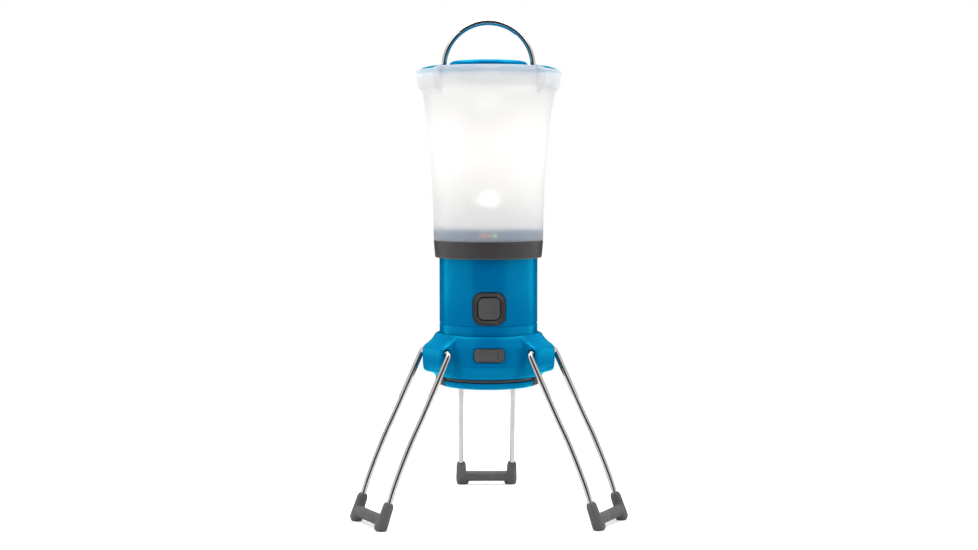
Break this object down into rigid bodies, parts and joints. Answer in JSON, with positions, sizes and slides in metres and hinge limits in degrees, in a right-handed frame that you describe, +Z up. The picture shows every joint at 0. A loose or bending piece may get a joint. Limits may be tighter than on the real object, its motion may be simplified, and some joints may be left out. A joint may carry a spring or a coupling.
{
  "type": "camping lantern",
  "caption": "Collapsible camping lantern: a frosted globe slides over a round battery housing that stands on folding wire legs, with hooks on its cap.",
  "frame": {"origin": "on the floor that the feet stand on, in the middle of the tripod's footprint", "axes": "+Z up along the lantern's axis, -Y towards the front with the power button, +X to the right seen from the front"},
  "size_m": [0.1306, 0.1134, 0.2347],
  "materials": {
    "frosted_globe": "frosted translucent polycarbonate, satin outside",
    "band": "fine satin grain",
    "soft_rubber": "matte moulded rubber",
    "blue_shell": "glossy moulded ABS",
    "white_reflector": "smooth white reflector",
    "screws": "zinc plated",
    "wire": "polished steel wire",
    "heat_sink": "satin cast",
    "led_board": "white solder mask",
    "led_lens": "clear silicone over warm phosphor",
    "status_red": "clear tinted",
    "status_amber": "clear tinted",
    "status_green": "clear tinted",
    "circuit_board": "green solder mask",
    "black_plastic": "satin",
    "socket_metal": "nickel plated sheet",
    "cell_can": "printed jacket with plain bands",
    "contact_metal": "nickel-plated spring",
    "foot_rubber": "matte moulded rubber"
  },
  "bodies": {
    "body": {"housing": "blue_shell", "deck_collar": "blue_shell", "led_deck": "white_reflector", "lower_reflector": "white_reflector", "led_tower": "heat_sink", "led_board": "led_board", "led_lens": "led_lens", "status_light_1": "status_red", "status_light_2": "status_amber", "status_light_3": "status_green", "driver_board": "circuit_board", "button_bezel": "band", "button_board": "circuit_board", "tact_switch": "black_plastic", "charge_socket": "socket_metal", "battery_holder": "black_plastic", "battery_1": "cell_can", "battery_2": "cell_can", "battery_3": "cell_can", "battery_4": "cell_can", "upper_contact_1": "contact_metal", "upper_contact_2": "contact_metal", "upper_contact_3": "contact_metal", "upper_contact_4": "contact_metal", "holder_screw_1": "screws", "holder_screw_2": "screws", "holder_screw_3": "screws", "leg_hub": "blue_shell"},
    "head": {"globe": "frosted_globe", "globe_band": "band", "slide_ring": "soft_rubber", "top_cap": "blue_shell", "upper_reflector": "white_reflector", "reflector_screw_1": "screws", "reflector_screw_2": "screws", "reflector_screw_3": "screws"},
    "front_hook": {"hook_front": "wire"},
    "rear_hook": {"hook_rear": "wire"},
    "power_button": {"button_pad": "soft_rubber"},
    "port_flap": {"port_cover": "soft_rubber"},
    "contact_carrier": {"contact_disc": "circuit_board", "contact_spring_1": "contact_metal", "contact_spring_2": "contact_metal", "contact_spring_3": "contact_metal", "contact_spring_4": "contact_metal", "cover_gasket": "soft_rubber"},
    "cover": {"battery_cover": "blue_shell", "grip_pad_1": "soft_rubber", "grip_pad_2": "soft_rubber"},
    "rear_leg": {"leg_wire_rear": "wire", "foot_rear": "foot_rubber"},
    "front_left_leg": {"leg_wire_front_left": "wire", "foot_front_left": "foot_rubber"},
    "front_right_leg": {"leg_wire_front_right": "wire", "foot_front_right": "foot_rubber"}
  },
  "joints": [
    {"name": "globe_slide", "type": "slide", "parent": "body", "child": "head", "axis": [0, 0, -1], "range_m": [0, 0.0353]},
    {"name": "front_hook_fold", "type": "hinge", "parent": "head", "child": "front_hook", "pos_m": [0, -0.01206, 0.2106], "axis": [1, 0, 0], "range_deg": [0, 90]},
    {"name": "rear_hook_fold", "type": "hinge", "parent": "head", "child": "rear_hook", "pos_m": [0, -0.00936, 0.2106], "axis": [-1, 0, 0], "range_deg": [0, 90]},
    {"name": "button_press", "type": "slide", "parent": "body", "child": "power_button", "axis": [0, 1, 0], "range_m": [0, 0.0007], "stiffness_N_per_m": 1500},
    {"name": "port_cover_open", "type": "hinge", "parent": "body", "child": "port_flap", "pos_m": [-0.007, -0.03668, 0.0779], "axis": [0, 0, -1], "range_deg": [0, 110]},
    {"name": "cover_drop", "type": "slide", "parent": "body", "child": "contact_carrier", "axis": [0, 0, -1], "range_m": [0, 0.0045]},
    {"name": "cover_turn", "type": "hinge", "parent": "contact_carrier", "child": "cover", "pos_m": [0, -0.01071, 0.063], "axis": [0, 0, -1], "range_deg": [0, 90]},
    {"name": "rear_leg_fold", "type": "hinge", "parent": "body", "child": "rear_leg", "pos_m": [0, 0.01799, 0.07865], "axis": [1, 0, 0], "range_deg": [0, 150]},
    {"name": "front_left_leg_fold", "type": "hinge", "parent": "body", "child": "front_left_leg", "pos_m": [-0.02485, -0.02506, 0.07865], "axis": [-0.5, 0.866, 0], "range_deg": [0, 150]},
    {"name": "front_right_leg_fold", "type": "hinge", "parent": "body", "child": "front_right_leg", "pos_m": [0.02485, -0.02506, 0.07865], "axis": [-0.5, -0.866, 0], "range_deg": [0, 150]}
  ],
  "couplings": [
    {"joint": "cover_drop", "follows": "cover_turn", "m_per_rad": 0.0028648}
  ]
}
